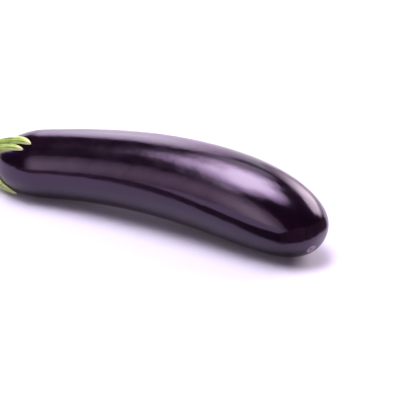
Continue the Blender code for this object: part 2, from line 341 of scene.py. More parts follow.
# Lights: name, tint, centre, lean (0 faces down, -90 to the front and 90 to the back), half width,
# half height or the outline's radii, turn in its own plane, radiance in the middle and at the rim,
# and the share of its size that is full
CARDS = (
    ("key_card", "light_tint", (-0.207, -0.063, 1.20), 0, KEY_OUTLINE, 0, 15.2, 3.0, 0.25),
    ("soft_card", "back_tint", (-0.28, 0.85, 1.21), 0, (0.32, 0.46), 0, 2.1, 0.4, 0.45),
    ("side_strip", "light_tint", (-0.449, -0.531, 1.21), 0, (0.152, 0.90), -18, 4.6, 0.5, 0.38),
    ("back_left_card", "back_tint", (-1.055, 1.30, 1.172), -90, (0.478, 1.206), -22.5, 4.5, 2.15, 0.30),
    ("back_right_card", "warm_tint", (0.838, 1.31, 0.912), -90, BACK_OUTLINE, 0, 7.6, 0.9, 0.44),
    ("back_low_card", "back_tint", (-0.659, 1.35, 0.351), -90, (1.64, 0.743), -1, 1.75, 1.25, 0.55),
    ("front_card", "warm_tint", (-0.286, -1.20, 0.25), 90, (0.495, 1.246), 27, 2.75, 0.75, 0.06),
)
# The dark strip in front of the fruit and round its tip: place along X and Y, and height
DARK_STRIP = (
    (-0.22, -0.180, 0.026), (-0.09, -0.143, 0.028), (-0.03, -0.093, 0.028), (0.03, -0.059, 0.020),
    (0.08, -0.047, 0.019), (0.108, -0.040, 0.021), (0.128, -0.042, 0.034), (0.146, -0.036, 0.038),
    (0.158, -0.018, 0.037), (0.161, 0.010, 0.036), (0.150, 0.045, 0.034),
)
CARD_RINGS = 10
CARD_SEGMENTS = 60
FLOOR_RINGS = 12
FLOOR_SEGMENTS = 96
STRIP_ROUGHNESS = 0.9
BACKDROP_STRENGTH = 1.15

# Noises in the paint: waves per metre, the share of them along the growth, detail and roughness
WINE_PATCHES = (42.0, 0.35, 3.0, 0.5)
SKIN_STREAKS = (900.0, 0.06, 3.0, 0.6)
SKIN_FRAY = (700.0, 1.0, 3.0, 0.5)
SKIN_CLOUDS = (130.0, 0.5, 3.0, 0.5)
SKIN_RIPPLES = (300.0, 0.55, 1.0, 0.5)
SKIN_PORES = (1500.0, 1.0, 2.0, 0.5)
GREEN_PATCHES = (260.0, 1.0, 3.0, 0.5)
GREEN_FIBRES = (1500.0, 0.10, 3.0, 0.6)
GREEN_GRAIN = (2600.0, 1.0, 2.0, 0.5)
FLOOR_CLOUDS = (9.0, 1.0, 3.0, 0.5)
SPECK_SCALE = 420.0
# How far noise frays the paint's edges by the calyx, by the scar, at the lobes' tips and on the floor
CALYX_FRAY = 0.0011
SCAR_FRAY = 0.0024
TIP_FRAY = 0.003
FLOOR_FRAY = 0.05
# Paint on the skin: the values between which each layer comes in, then its least and most
WINE_SHOWS = (0.42, 0.68)
STREAKS_SHOW = (0.50, 0.80, 0.0, 0.55)
SPECK_SIZE = (0.16, 0.06)
SPECK_RARITY = (0.70, 0.85)
HOLLOW_STATION = (0.021, 0.014)
YOUNG_STATION = (0.028, 0.018)
YOUNG_BORDER = (0.0036, 0.0010)
PALE_BORDER = (0.00135, 0.00075)
DULL_BORDER = (0.0022, 0.0008, 0.0, 0.22)
SCAR_HALO = (0.0056, 0.0044)
SCAR_CORK = (0.0046, 0.0037)
SCAR_PIT = (0.0025, 0.0017)
# The same for the calyx and the stalk
LIME_SHOWS = (0.35, 0.70)
# Painted shade: dark green eased into the furrows between the veins
FURROW_SHADE = (0.50, 0.10, 0.0, 0.6)
VEIN_TOPS = (0.62, 0.98, 0.0, 0.45)
PALE_FIBRES = (0.50, 0.78, 0.0, 0.35)
# Darker painted shade in the deepest furrows and along the fold between the two close lobes
DEEP_FURROW_SHADE = (0.16, 0.02, 0.0, 0.75)
CREAM_BORDER = (0.0010, 0.0002, 0.0, 0.6)
TAN_TIP = (0.0054, 0.0022, 0.0, 0.9)
STALK_TAKES_OVER = (0.10, 0.42)
DARK_FIBRES = (0.40, 0.66)
STALK_RIDGES = (0.60, 1.0, 0.0, 0.55)
SCUFFS_SHOW = (0.55, 0.72, 0.0, 0.8)
SCUFF_PLACE = (0.45, 1.0)
CUT_STARTS = (0.999, 0.97)
CUT_RIND = (0.80, 0.93)
CUT_MIDDLE = (0.60, 0.05, 0.0, 0.5)
TAN_PITH = (0.35, 0.65)
# The floor's depth over which it turns paler: painted light behind the fruit, which the fruit's rims
# reflect
FLOOR_PAINTED_LIGHT = (0.06, 0.45)
# Roughness: the noise's values between which it strays from the finish's own, and how far
CLOUDS_SHOW = (0.3, 0.75)
SKIN_ROUGHNESS_STRAY = (-0.025, 0.035)
PATCHES_SHOW = (0.3, 0.7)
GREEN_ROUGHNESS_STRAY = (-0.06, 0.10)
CORK_DULLNESS = 0.42
CUT_DULLNESS = 0.3
# Depth of the skin's streaks in depths of its pores, and of the calyx's grain and fibres in metres
STREAK_DEPTH = 1.3
GRAIN_DEPTH = 0.00002
FIBRE_DEPTH = 0.00005
# What is the same all over a surface
SKIN_IOR = 1.6
GREEN_SURFACE = {
    "IOR": 1.45,
    "Subsurface Weight": 0.25,
    "Subsurface Radius": (0.9, 1.0, 0.25),
    "Subsurface Scale": 0.0012,
    "Sheen Weight": 0.12,
    "Sheen Roughness": 0.45,
    "Sheen Tint": (0.9, 1.0, 0.7, 1.0),
}
FLOOR_SURFACE = {"Roughness": 0.75, "Specular IOR Level": 0.25}
# Sockets of the Mix node when it mixes colours
MIX_SHARE = 0
MIX_FIRST = 6
MIX_SECOND = 7
MIX_RESULT = 2


def smooth(share):
    """Eases from 0 to 1, and stays there."""
    share = np.clip(share, 0.0, 1.0)
    return share * share * (3 - 2 * share)


def apart(turn, other):
    """The angle between two turns, however many times round they are counted."""
    return np.abs((turn - other + pi) % (2 * pi) - pi)


class Fruit:
    """The fruit's form: its bent axis, its skin and its blossom scar."""

    def __init__(self, form, scar):
        self.form = form
        self.scar = scar
        station = form.length * (1 - np.cos(np.linspace(0, pi, TABLE_STEPS))) / 2
        heading = -form.bend * (station / form.length) ** form.bend_gather
        step = np.diff(station)
        middle = (heading[1:] + heading[:-1]) / 2
        along = np.append(0, np.cumsum(step * np.cos(middle)))
        off = np.append(0, np.cumsum(step * np.sin(middle)))
        chord = atan2(off[-1], along[-1])
        self.station = station
        self.along = along * cos(chord) + off * sin(chord)
        self.off = off * cos(chord) - along * sin(chord)
        self.heading = heading - chord
        slant = np.hypot(step, np.diff(self.radius(station)))
        self.reach = np.append(0, np.cumsum(slant))
        tilt = form.bend_tilt
        self.lengthways = np.array([1.0, 0, 0])
        self.bulge = np.array([0, cos(tilt), sin(tilt)])
        self.across = np.array([0, -sin(tilt), cos(tilt)])
        scar_station = np.interp(self.reach[-1] - scar.off_tip, self.reach, self.station)
        self.scar_point, _ = self.skin(np.array(scar_station), np.array(scar.turn))

    def radius(self, station):
        """Half an ellipsoid at the stalk, a slow swell and a full tip."""
        form = self.form
        swell = (1 - np.cos(pi * np.clip(station / form.length / form.belly_at, 0, 1))) / 2
        radius = form.shoulder + (form.belly - form.shoulder) * swell
        in_shoulder = np.clip(1 - station / form.shoulder_cap, 0, 1)
        in_tip = np.clip(1 - (form.length - station) / form.tip_cap, 0, 1)
        tip = np.maximum(1 - in_tip**form.tip_fullness, 0) ** (1 / form.tip_fullness)
        return radius * np.sqrt(1 - in_shoulder**2) * tip

    def axis(self, station):
        """The axis's point, its forward direction and its direction towards the outside of the bend."""
        along = np.interp(station, self.station, self.along)[..., None]
        off = np.interp(station, self.station, self.off)[..., None]
        heading = np.interp(station, self.station, self.heading)[..., None]
        point = along * self.lengthways + off * self.bulge
        forward = np.cos(heading) * self.lengthways + np.sin(heading) * self.bulge
        outside = np.cos(heading) * self.bulge - np.sin(heading) * self.lengthways
        return point, forward, outside

    def sideways(self, outside, turn):
        """The direction away from the axis at this turn."""
        lean = (self.form.bend_tilt - turn)[..., None]
        return np.sin(lean) * outside + np.cos(lean) * self.across

    def skin(self, station, turn):
        """Points of the plain skin and the directions out of it."""
        point, forward, outside = self.axis(station)
        out = self.sideways(outside, turn)
        waves = sum(
            share * np.cos(count * turn + start + WAVE_TWIST * station)
            for count, share, start in SECTION_WAVES
        )
        before = np.maximum(station - SLOPE_STEP, 0)
        after = np.minimum(station + SLOPE_STEP, self.form.length)
        slope = (self.radius(after) - self.radius(before)) / (after - before)
        normal = out - slope[..., None] * forward
        normal /= np.linalg.norm(normal, axis=-1, keepdims=True)
        return point + (self.radius(station) * (1 + waves))[..., None] * out, normal

    def at_reach(self, reach):
        return np.interp(reach, self.reach, self.station)

    def stations(self, rings):
        """Stations from the tip to the stalk end, closer together at both ends."""
        even = np.linspace(1, 0, rings + 1)
        crowded = even - END_CROWDING * np.sin(2 * pi * even) / (2 * pi)
        return self.at_reach(crowded * self.reach[-1])

    def scar_height(self, distance):
        """A raised ring round a small pit."""
        scar = self.scar
        rim = scar.rim_height * np.exp(-(((distance - scar.rim_radius) / scar.rim_width) ** 2))
        return rim - scar.pit_depth * np.exp(-((distance / scar.pit_radius) ** 2))

    def grid(self, segments, rings):
        """Stations, turns, points and outward directions for each ring and segment."""
        turn = np.linspace(0, 2 * pi, segments, endpoint=False)
        station, turn = np.meshgrid(self.stations(rings), turn, indexing="ij")
        point, normal = self.skin(station, turn)
        return station, turn, point, normal


class Calyx:
    """The calyx's and the stalk's form, laid over the fruit."""

    def __init__(self, fruit, form, stalk):
        self.fruit = fruit
        self.form = form
        self.stalk = stalk
        turn = np.linspace(0, 2 * pi, 4 * TABLE_STEPS)
        self.margin_turn = turn
        self.margin, _ = self.skin(self.margin_reach(turn), turn)
        self.margin_tree = KDTree(len(turn))
        for index, point in enumerate(self.margin):
            self.margin_tree.insert(point, index)
        self.margin_tree.balance()

    def margin_reach(self, turn):
        """How far the calyx reaches over the fruit: fingers on wide skirts, with hollows between."""
        form = self.form
        fingers = np.zeros_like(turn)
        skirts = np.zeros_like(turn)
        for lobe_turn, half_width, tip_reach, _, _ in LOBES:
            share = apart(turn, lobe_turn) / half_width
            length = tip_reach - form.sinus_reach
            finger = length * np.maximum(1 - share**2, 0) ** form.taper
            fingers = np.maximum(fingers, finger)
            skirt = np.exp(-((share / form.skirt_spread) ** 2))
            skirts = skirts + length * form.skirt_share * skirt
        return form.sinus_reach + np.cbrt(fingers**3 + skirts**3)

    def sweep(self, turn):
        turns = [lobe[0] for lobe in LOBES]
        sweeps = [lobe[3] for lobe in LOBES]
        return np.interp(turn, turns, sweeps, period=2 * pi)

    def skin(self, reach, turn):
        """Points of the fruit's skin under the calyx, with the lobes swept aside."""
        aside = self.sweep(turn) * (reach / self.form.sweep_reach) ** 2
        return self.fruit.skin(self.fruit.at_reach(reach), turn + aside)

    def to_margin(self, points):
        """Each point's distance from the calyx's margin."""
        flat = points.reshape(-1, 3)
        found = [self.margin_tree.find(point)[2] for point in flat]
        return np.array(found).reshape(points.shape[:-1])

    def columns(self):
        """Turns spaced along the margin, closer where it curves and at the lobes' tips."""
        step = np.diff(self.margin, axis=0)
        run = np.linalg.norm(step, axis=1)
        heading = step / run[:, None]
        curving = np.linalg.norm(np.diff(heading, axis=0), axis=1)
        weight = run + COLUMN_CURVE_WEIGHT * np.append(curving, 0)
        weight = weight + COLUMN_TURN_WEIGHT * np.diff(self.margin_turn)
        length = np.append(0, np.cumsum(weight))
        share = np.linspace(0, length[-1], self.form.columns, endpoint=False)
        return np.interp(share, length, self.margin_turn)

    def fold(self, reach, turn):
        """1 along the fold between the two close lobes, 0 away from it. The calyx is thinner there, and
        its paint puts painted shade there.
        """
        form = self.form
        near = np.exp(-((apart(turn, form.fold_turn) / form.fold_width) ** 2))
        return near * smooth((reach - form.fold_start) / form.fold_run)

    def veins(self, reach, turn):
        """Fine veins that run out from the stalk: 1 on a vein, 0 in a furrow and along the fold, where
        the paint puts painted shade.
        """
        form = self.form
        wander = VEIN_WANDER * np.sin(VEIN_WANDER_WAVES * turn + reach / VEIN_WANDER_LENGTH)
        fine = np.cos(form.veins * turn + wander)
        broad = np.cos(form.veins * BROAD_VEINS * turn + 2 * wander)
        return (0.5 + FINE_VEIN_SHARE * fine + BROAD_VEIN_SHARE * broad) * (1 - self.fold(reach, turn))

    def thickness(self, reach, turn, to_edge):
        """Thick at the crown and thin at the tips, with a rib along each lobe and round edges."""
        form = self.form
        near_crown = 1 - smooth((reach - self.stalk.foot_reach) / form.crown_spread)
        body = form.lobe + (form.crown - form.lobe) * near_crown
        body = body * (1 + form.thick_share * np.cos(turn - form.thick_side))
        body = body * (1 - form.fold_depth * self.fold(reach, turn))
        for lobe_turn, half_width, tip_reach, _, _ in LOBES:
            share = apart(turn, lobe_turn) / half_width
            fade = smooth(2 * (tip_reach - reach) / tip_reach)
            body = body + form.rib * fade * np.exp(-((share / form.rib_width) ** 2))
        inward = np.clip(to_edge / form.edge_round, 0, 1)
        return form.edge + (body - form.edge) * np.sqrt(1 - (1 - inward) ** 2)

    def lift(self, reach, turn):
        """The clear gap to the fruit, which widens towards each lobe's tip."""
        form = self.form
        lift = np.full_like(reach, form.gap)
        for lobe_turn, half_width, tip_reach, _, tip_lift in LOBES:
            near = np.exp(-((apart(turn, lobe_turn) / half_width) ** 4))
            past = (reach / tip_reach - form.lift_from) / (1 - form.lift_from)
            lift = lift + tip_lift * near * smooth(past)
        return lift


def blade_rings(calyx, turn):
    """The calyx's rings: under it, round its border, and over it to the stalk's foot.

    Yields each ring's points, reach, distance from the margin, and whether it is on top.
    """
    form = calyx.form
    margin = calyx.margin_reach(turn)
    half = form.edge / 2

    def ring(reach, height, to_edge, on_top):
        skin, normal = calyx.skin(reach, turn)
        point = skin + (calyx.lift(reach, turn) + height)[:, None] * normal
        return point, reach, to_edge, np.full_like(turn, on_top)

    for share in np.linspace(0, 1, UNDER_RINGS)[:-1]:
        reach = margin * share
        skin, _ = calyx.skin(reach, turn)
        yield ring(reach, np.zeros_like(turn), calyx.to_margin(skin), 0.0)
    for lean in np.linspace(-pi / 2, pi / 2, 2 * BEAD_RINGS + 1):
        inset = half * (1 - cos(lean))
        height = np.full_like(turn, half * (1 + sin(lean)))
        yield ring(margin - inset, height, np.full_like(turn, inset), (1 + sin(lean)) / 2)
    insets = half + (INSET_DEPTH - half) * np.linspace(0, 1, INSET_RINGS + 1)[1:] ** INSET_EASE
    last = margin - insets[-1]
    crown = np.linspace(0, 1, CROWN_RINGS + 1)[1:]
    crown = crown + CROWN_EASE * np.sin(pi * crown) / pi
    reaches = [margin - inset for inset in insets]
    reaches += [last + share * (calyx.stalk.foot_reach - last) for share in crown]
    for reach in reaches:
        skin, _ = calyx.skin(reach, turn)
        to_edge = calyx.to_margin(skin)
        thickness = calyx.thickness(reach, turn, to_edge - half)
        fade = smooth(to_edge / VEIN_EDGE)
        furrow = form.vein * fade * (1 - calyx.veins(reach, turn))
        yield ring(reach, thickness - furrow, to_edge, 1.0)


def stalk_rings(calyx, turn):
    """The stalk's rings from its flared foot to the middle of its cut end.

    Yields each ring's points, its shares of the stalk's length and of the cut's radius, and its
    height between the fine grooves.
    """
    fruit = calyx.fruit
    stalk = calyx.stalk
    foot, forward, outside = fruit.axis(np.array(0.0))
    top = fruit.sideways(outside, np.array(0.0))
    front = fruit.sideways(outside, np.array(pi / 2))
    even = turn[0] + np.linspace(0, 2 * pi, len(turn), endpoint=False)
    start = STALK_START
    bevel = stalk.cut_bevel / stalk.length
    shares = list(start + (1 - bevel - start) * np.linspace(0, 1, STALK_RINGS) ** STALK_EASE)
    for lean in np.linspace(0, pi / 2, BEVEL_RINGS + 1)[1:]:
        shares.append(1 - bevel * (1 - sin(lean)))
    rim = None
    for share in shares:
        lean = stalk.bend * share
        arc = (1 - cos(lean)) * top - sin(lean) * forward
        middle = foot + stalk.length / stalk.bend * arc
        up = cos(lean) * top + sin(lean) * forward
        past_foot = (share - start) * stalk.length
        radius = stalk.radius + stalk.flare * np.exp(-past_foot / stalk.flare_length)
        radius += stalk.end_swell * smooth(2 * share - 1)
        over = max(share - (1 - bevel), 0) / bevel
        radius -= stalk.cut_bevel * (1 - np.sqrt(max(1 - over**2, 0)))
        spread = smooth(2 * (share - start))
        angle = turn + spread * (even - turn)
        ridge = stalk.ridge_height * np.cos(stalk.ridges * angle + stalk.ridge_start)
        ridge = ridge * (1 + spread) / 2
        wander = GROOVE_WANDER * np.sin(GROOVE_WAVES * angle + GROOVE_TWIST * share)
        fine = np.cos(STALK_GROOVES * angle + wander)
        depth = stalk.groove * smooth(GROOVE_ONSET * (share - start)) * (1 - fine) / 2
        around = np.cos(angle)[:, None] * up + np.sin(angle)[:, None] * front
        rim = middle + (radius * (1 + ridge) - depth)[:, None] * around
        yield rim, np.full_like(turn, share), np.full_like(turn, 1.0), (1 + fine) / 2
    centre = rim.mean(axis=0)
    inward = cos(stalk.bend) * forward - sin(stalk.bend) * top
    for share in np.linspace(1, 0, CUT_RINGS + 1)[1:]:
        waves = 1 + DISH_UNEVEN * np.cos(DISH_WAVES * even + DISH_TWIST * share)
        sunk = stalk.cut_dish * smooth((1 - share) * DISH_STEEPNESS) * waves
        outside_middle = smooth(share * DISH_MIDDLE)
        sunk = sunk * outside_middle + stalk.cut_dish * (1 - outside_middle)
        point = centre + share * (rim - centre) + sunk[:, None] * inward
        yield point, np.full_like(turn, 1.0), np.full_like(turn, share), np.full_like(turn, 0.5)


def about_y(angle):
    return np.array([[cos(angle), 0, sin(angle)], [0, 1, 0], [-sin(angle), 0, cos(angle)]])


def rest_pitch(points, half_way):
    """The rotation about Y that brings the stalk half and the belly half down to one level."""
    pitch = 0.0
    for _ in range(SETTLE_STEPS):
        turned = points @ about_y(pitch).T
        stalk_half = turned[turned[:, 0] < half_way]
        belly_half = turned[turned[:, 0] >= half_way]
        slope = belly_half[belly_half[:, 2].argmin()] - stalk_half[stalk_half[:, 2].argmin()]
        pitch += np.arctan2(slope[2], slope[0])
    return pitch


class Rest:
    """How the form lies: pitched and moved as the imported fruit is."""

    def __init__(self, fruit):
        _, _, point, normal = fruit.grid(SOLID_SEGMENTS, SOLID_RINGS)
        height = fruit.scar_height(np.linalg.norm(point - fruit.scar_point, axis=-1))
        solid = (point + height[..., None] * normal).reshape(-1, 3)
        self.turning = about_y(rest_pitch(solid, fruit.form.length / 2)).T
        solid = solid @ self.turning
        low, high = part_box("fruit")
        middle = (np.array(low) + np.array(high)) / 2
        offset = middle - (solid.min(axis=0) + solid.max(axis=0)) / 2
        offset[2] = low[2] - solid[:, 2].min() - fruit.form.flat_depth
        self.offset = offset

    def __call__(self, points):
        return points @ self.turning + self.offset


def placed(name, data):
    """A new object in the scene."""
    made = bpy.data.objects.new(name, data)
    bpy.context.scene.collection.objects.link(made)
    return made


def ring_mesh(name, rings, values, material):
    """A closed mesh of rings whose first and last are each one point, with values on its points."""
    count = rings.shape[1]
    inner = rings[1:-1].reshape(-1, 3)
    points = np.concatenate([rings[0].mean(axis=0)[None], inner, rings[-1].mean(axis=0)[None]])
    start = 1 + count * np.arange(len(rings) - 3)[:, None]
    here = np.arange(count)
    after = (here + 1) % count
    quads = np.stack([start + here, start + after, start + count + after, start + count + here], -1)
    last = 1 + count * (len(rings) - 3)
    end = len(points) - 1
    first_fan = [(0, 1 + b, 1 + a) for a, b in zip(here, after)]
    last_fan = [(end, last + a, last + b) for a, b in zip(here, after)]
    faces = quads.reshape(-1, 4).tolist() + first_fan + last_fan
    mesh = bpy.data.meshes.new(name)
    mesh.from_pydata(points, [], faces)
    for key, value in values.items():
        wide = value.ndim == 3
        kind = "FLOAT_VECTOR" if wide else "FLOAT"
        attribute = mesh.attributes.new(key, kind, "POINT")
        ends = [value[:1].mean(axis=1), value[-1:].mean(axis=1)]
        body = value[1:-1].reshape((-1, 3) if wide else -1)
        column = np.concatenate([ends[0], body, ends[1]])
        attribute.data.foreach_set("vector" if wide else "value", column.astype(np.float32).ravel())
    mesh.shade_smooth()
    mesh.materials.append(material)
    return placed(name, mesh)


def face_outwards(piece):
    """Turns the faces round if the mesh is inside out."""
    mesh = piece.data
    mesh.calc_loop_triangles()
    corner = np.empty(len(mesh.loop_triangles) * 3, np.int32)
    mesh.loop_triangles.foreach_get("vertices", corner)
    point = np.empty(len(mesh.vertices) * 3, np.float32)
    mesh.vertices.foreach_get("co", point)
    a, b, c = (point.reshape(-1, 3)[corner.reshape(-1, 3)[:, side]] for side in range(3))
    if np.einsum("ij,ij->", a.astype(float), np.cross(b, c)) < 0:
        mesh.flip_normals()


def fill(tree, node, sockets):
    """Joins or sets each of the node's sockets that is named here."""
    for name, value in dict(sockets).items():
        if isinstance(value, bpy.types.NodeSocket):
            tree.links.new(value, node.inputs[name])
        else:
            node.inputs[name].default_value = value


def add(tree, kind, sockets=(), **settings):
    """A node with these settings and sockets."""
    made = tree.nodes.new("ShaderNode" + kind)
    for name, value in settings.items():
        setattr(made, name, value)
    fill(tree, made, sockets)
    return made


def rgba(colour):
    """A colour with its opacity, or a socket as it is."""
    return colour if isinstance(colour, bpy.types.NodeSocket) else (*colour, 1.0)


def attribute(tree, name, output="Fac"):
    return add(tree, "Attribute", attribute_name=name).outputs[output]


def blend_colours(tree, share, first, second):
    """The first colour where the share is 0 and the second where it is 1."""
    sockets = {MIX_SHARE: share, MIX_FIRST: rgba(first), MIX_SECOND: rgba(second)}
    made = add(tree, "Mix", sockets, data_type="RGBA", clamp_factor=True)
    return made.outputs[MIX_RESULT]


def painted(tree, colour, layers):
    """The colour with each layer laid over it in turn: its share, and its own colour."""
    for share, paint in layers:
        colour = blend_colours(tree, share, colour, paint)
    return colour


def ease(tree, value, start, end, low=0.0, high=1.0):
    """Eases from low to high as the value goes from start to end."""
    sockets = {"Value": value, "From Min": start, "From Max": end, "To Min": low, "To Max": high}
    made = add(tree, "MapRange", sockets, interpolation_type="SMOOTHSTEP")
    return made.outputs["Result"]


def plus(tree, first, second):
    return add(tree, "Math", {0: first, 1: second}, operation="ADD").outputs[0]


def times(tree, first, second):
    return add(tree, "Math", {0: first, 1: second}, operation="MULTIPLY").outputs[0]


def noise(tree, vector, scale, along, detail, roughness):
    """Noise that is drawn out along the first direction where along is below 1."""
    if along != 1:
        stretched = {0: vector, 1: (along, 1.0, 1.0)}
        vector = add(tree, "VectorMath", stretched, operation="MULTIPLY").outputs[0]
    sockets = {"Vector": vector, "Scale": scale, "Detail": detail, "Roughness": roughness}
    return add(tree, "TexNoise", sockets).outputs[0]


def bump(tree, height, distance, below=None):
    sockets = {"Height": height, "Distance": distance, "Strength": 1.0}
    if below is not None:
        sockets["Normal"] = below
    return add(tree, "Bump", sockets).outputs[0]


def new_material(name):
    material = bpy.data.materials.new(name)
    material.use_nodes = True
    tree = material.node_tree
    return material, tree, tree.nodes["Principled BSDF"]


def skin_material(finish):
    """Waxy, nearly black skin: wine patches, fine streaks and pores, and pale skin by the calyx."""
    material, tree, shader = new_material("aubergine_skin")
    grown = attribute(tree, "grown", "Vector")
    station = add(tree, "SeparateXYZ", {0: grown}).outputs[0]
    streaks = noise(tree, grown, *SKIN_STREAKS)
    fray = noise(tree, grown, *SKIN_FRAY)
    from_calyx = plus(tree, attribute(tree, "from_calyx"), times(tree, fray, CALYX_FRAY))
    from_scar = plus(tree, attribute(tree, "from_scar"), times(tree, fray, SCAR_FRAY))
    hollow = ease(tree, station, *HOLLOW_STATION)
    cells = add(tree, "TexVoronoi", {"Vector": grown, "Scale": SPECK_SCALE}, feature="F1")
    rare = add(tree, "SeparateColor", {"Color": cells.outputs["Color"]}).outputs[0]
    spot = ease(tree, cells.outputs["Distance"], *SPECK_SIZE)
    young = ease(tree, from_calyx, *YOUNG_BORDER)
    cork = ease(tree, from_scar, *SCAR_CORK)
    layers = (
        (ease(tree, noise(tree, grown, *WINE_PATCHES), *WINE_SHOWS), finish.wine),
        (ease(tree, streaks, *STREAKS_SHOW), finish.wine),
        (times(tree, spot, ease(tree, rare, *SPECK_RARITY)), finish.speck),
        (times(tree, young, ease(tree, station, *YOUNG_STATION)), finish.violet),
        (times(tree, hollow, ease(tree, from_calyx, *PALE_BORDER)), finish.pale),
        (ease(tree, from_scar, *SCAR_HALO), finish.violet),
        (cork, finish.cork),
        (ease(tree, from_scar, *SCAR_PIT), finish.pit),
    )
    stray = [finish.roughness + part for part in SKIN_ROUGHNESS_STRAY]
    rough = ease(tree, noise(tree, grown, *SKIN_CLOUDS), *CLOUDS_SHOW, *stray)
    rough = plus(tree, rough, times(tree, cork, CORK_DULLNESS))
    rough = plus(tree, rough, times(tree, hollow, ease(tree, from_calyx, *DULL_BORDER)))
    pores = bump(tree, noise(tree, grown, *SKIN_PORES), finish.pore_height)
    lines = bump(tree, streaks, STREAK_DEPTH * finish.pore_height, pores)
    ripples = bump(tree, noise(tree, grown, *SKIN_RIPPLES), finish.ripple_height, lines)
    fill(tree, shader, {
        "Base Color": painted(tree, finish.deep, layers),
        "Roughness": rough,
        "IOR": SKIN_IOR,
        "Specular Tint": rgba(finish.tint),
        "Normal": ripples,
    })
    return material


def calyx_material(finish):
    """Satin yellow-green flesh with veins, painted shade in their furrows and in the fold, cream
    borders, tan tips and a dried cut.
    """
    material, tree, shader = new_material("calyx_green")
    grown = attribute(tree, "grown", "Vector")
    names = ("vein", "to_edge", "to_tip", "on_stalk", "cut", "under")
    vein, to_edge, to_tip, on_stalk, cut, under = (attribute(tree, name) for name in names)
    patches = noise(tree, grown, *GREEN_PATCHES)
    fibres = noise(tree, grown, *GREEN_FIBRES)
    frayed_tip = plus(tree, to_tip, times(tree, patches, TIP_FRAY))
    scuffs = times(tree, ease(tree, patches, *SCUFFS_SHOW), ease(tree, on_stalk, *SCUFF_PLACE))
    stalk = painted(tree, finish.stalk, (
        (ease(tree, fibres, *DARK_FIBRES), finish.dark_green_and_shade),
        (ease(tree, vein, *STALK_RIDGES), finish.cream),
        (scuffs, finish.brown),
    ))
    cut_face = painted(tree, finish.pith, (
        (ease(tree, patches, *TAN_PITH), finish.tan),
        (ease(tree, cut, *CUT_RIND), finish.brown),
        (ease(tree, cut, *CUT_MIDDLE), finish.brown),
    ))
    colour = painted(tree, finish.leaf, (
        (ease(tree, patches, *LIME_SHOWS), finish.lime),
        # painted shade in the furrows between the veins
        (ease(tree, vein, *FURROW_SHADE), finish.dark_green_and_shade),
        (ease(tree, vein, *VEIN_TOPS), finish.cream),
        (ease(tree, fibres, *PALE_FIBRES), finish.cream),
        # darker painted shade in the deepest furrows and along the fold
        (ease(tree, vein, *DEEP_FURROW_SHADE), finish.dark_green_and_shade),
        (ease(tree, to_edge, *CREAM_BORDER), finish.cream),
        (ease(tree, frayed_tip, *TAN_TIP), finish.tan),
        (ease(tree, on_stalk, *STALK_TAKES_OVER), stalk),
        (ease(tree, cut, *CUT_STARTS), cut_face),
        (under, finish.cream),
    ))
    stray = [finish.roughness + part for part in GREEN_ROUGHNESS_STRAY]
    rough = ease(tree, patches, *PATCHES_SHOW, *stray)
    rough = plus(tree, rough, ease(tree, cut, *CUT_STARTS, 0.0, CUT_DULLNESS))
    grain = bump(tree, noise(tree, grown, *GREEN_GRAIN), GRAIN_DEPTH)
    lines = bump(tree, fibres, FIBRE_DEPTH, grain)
    fill(tree, shader, {"Base Color": colour, "Roughness": rough, "Normal": lines, **GREEN_SURFACE})
    return material


def slow_noise(points, size, seed):
    """Smooth unevenness of about unit height: waves in every direction, all about this long."""
    draw = np.random.default_rng(seed)
    total = np.zeros(points.shape[:-1])
    for _ in range(NOISE_WAVES):
        way = draw.normal(size=3)
        way *= 2 * pi / (size * draw.uniform(*NOISE_SPREAD)) / np.linalg.norm(way)
        total += np.sin(points @ way + draw.uniform(0, 2 * pi))
    return total / np.sqrt(NOISE_WAVES / 2)


def crack_depth(fruit, point, from_scar):
    """The depth of the cracks over the blossom scar's ring."""
    scar = fruit.scar
    side = point - fruit.scar_point
    angle = np.arctan2(side @ fruit.across, side @ np.cross(fruit.across, fruit.lengthways))
    wander = CRACK_WANDER * np.sin(2 * angle)
    crack = np.maximum(np.cos(scar.cracks * angle + wander), 0) ** CRACK_SHARPNESS
    on_rim = np.exp(-(((from_scar - scar.rim_radius) / scar.rim_width) ** 2))
    return scar.crack_depth * crack * on_rim


def unevenness(fruit, finish, station, turn, point):
    """Faint facets along the skin and slow dents, sunk so that none stands out of the solid."""
    facets = np.zeros_like(turn)
    for index, count in enumerate(FACET_COUNTS):
        wander = FACET_WANDER * np.sin(FACET_WAVES * station + index)
        facets += np.cos(count * turn + FACET_START * index + wander) / len(FACET_COUNTS)
    girth = fruit.radius(station) / fruit.form.belly
    dents = slow_noise(point, finish.dent_size, DENT_SEED)
    dents = np.clip(dents, -DENT_LIMIT, DENT_LIMIT) / DENT_LIMIT
    uneven = finish.facet_height * facets * girth + finish.dent_height * dents
    return uneven - (finish.facet_height + finish.dent_height + SKIN_INSET)


def unswept(calyx, reach, turn):
    """How far a lobe has been swept aside where it now lies at this turn."""
    aside = np.zeros_like(turn)
    for _ in range(UNSWEPT_STEPS):
        aside = calyx.sweep((turn - aside) % (2 * pi)) * (reach / calyx.form.sweep_reach) ** 2
    return aside


def distance_from_calyx(calyx, station, turn, point):
    """How far the skin lies from the calyx's margin, and below 0 where the calyx covers it."""
    reach = np.interp(station, calyx.fruit.station, calyx.fruit.reach)
    near = reach < CALYX_ZONE
    distance = np.full_like(reach, CALYX_ZONE)
    distance[near] = calyx.to_margin(point[near])
    covered = near & (reach < calyx.margin_reach(turn - unswept(calyx, reach, turn)))
    distance[covered] = -distance[covered]
    return distance


def pressed_flat(height):
    """Heights above the floor, eased up to it where the skin would lie lower."""
    over = height / FLAT_SOFTNESS
    eased = FLAT_SOFTNESS * np.log1p(np.exp(np.minimum(over, FLAT_EASED_TO)))
    return np.where(over > FLAT_EASED_TO, height, eased)


def grown_place(along, radius, turn):
    """A place in the space that the paint's noises follow, which runs along the growth."""
    return np.stack([along, radius * np.cos(turn), radius * np.sin(turn)], -1)


